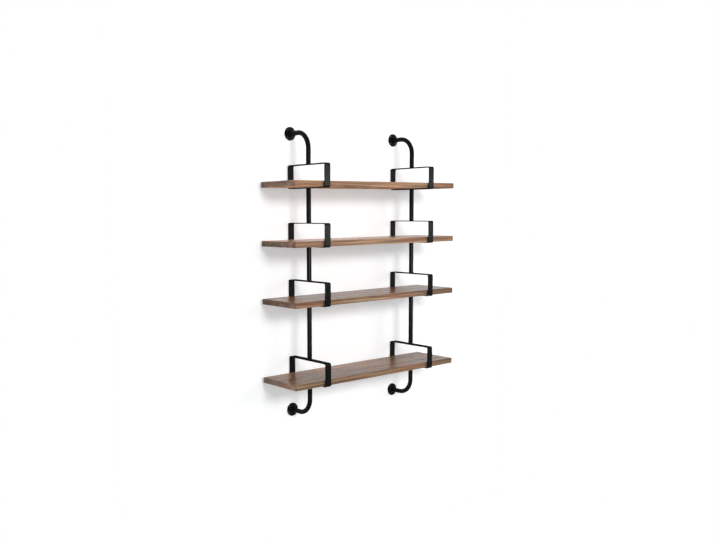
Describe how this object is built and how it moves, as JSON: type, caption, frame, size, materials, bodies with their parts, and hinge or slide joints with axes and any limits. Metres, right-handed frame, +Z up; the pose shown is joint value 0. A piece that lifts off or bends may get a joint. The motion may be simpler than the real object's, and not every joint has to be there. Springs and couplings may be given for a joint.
{
  "type": "pipe shelving unit",
  "caption": "Wall-hung shelving unit: wooden boards held in bent flat-bar straps between black steel pipes, with hooked pipe ends seated in round wall flanges.",
  "frame": {"origin": "on the wall, in the middle of the four wall flanges", "axes": "+X along the boards to the right as seen from the room, +Y into the wall, +Z up"},
  "size_m": [1.245, 0.321, 1.646],
  "materials": {
    "black_steel": "satin black powder coat",
    "board_wood": "satin oiled brown wood with lengthwise grain",
    "black_screw": "black oxide",
    "bright_steel": "turned steel"
  },
  "bodies": {
    "root": {"top_board": "board_wood", "top_board_screws": "black_screw", "upper_board": "board_wood", "upper_board_screws": "black_screw", "lower_board": "board_wood", "lower_board_screws": "black_screw", "bottom_board": "board_wood", "bottom_board_screws": "black_screw", "left_top_strap": "black_steel", "left_top_strap_screws": "black_screw", "left_upper_strap": "black_steel", "left_upper_strap_screws": "black_screw", "left_lower_strap": "black_steel", "left_lower_strap_screws": "black_screw", "left_bottom_strap": "black_steel", "left_bottom_strap_screws": "black_screw", "left_upper_pipe": "black_steel", "left_upper_pipe_plugs": "bright_steel", "left_middle_pipe": "black_steel", "left_middle_pipe_plugs": "bright_steel", "left_lower_pipe": "black_steel", "left_lower_pipe_plugs": "bright_steel", "left_top_hook": "black_steel", "left_top_hook_plug": "bright_steel", "left_top_flange": "black_steel", "left_bottom_hook": "black_steel", "left_bottom_hook_plug": "bright_steel", "left_bottom_flange": "black_steel", "right_top_strap": "black_steel", "right_top_strap_screws": "black_screw", "right_upper_strap": "black_steel", "right_upper_strap_screws": "black_screw", "right_lower_strap": "black_steel", "right_lower_strap_screws": "black_screw", "right_bottom_strap": "black_steel", "right_bottom_strap_screws": "black_screw", "right_upper_pipe": "black_steel", "right_upper_pipe_plugs": "bright_steel", "right_middle_pipe": "black_steel", "right_middle_pipe_plugs": "bright_steel", "right_lower_pipe": "black_steel", "right_lower_pipe_plugs": "bright_steel", "right_top_hook": "black_steel", "right_top_hook_plug": "bright_steel", "right_top_flange": "black_steel", "right_bottom_hook": "black_steel", "right_bottom_hook_plug": "bright_steel", "right_bottom_flange": "black_steel"}
  },
  "joints": []
}
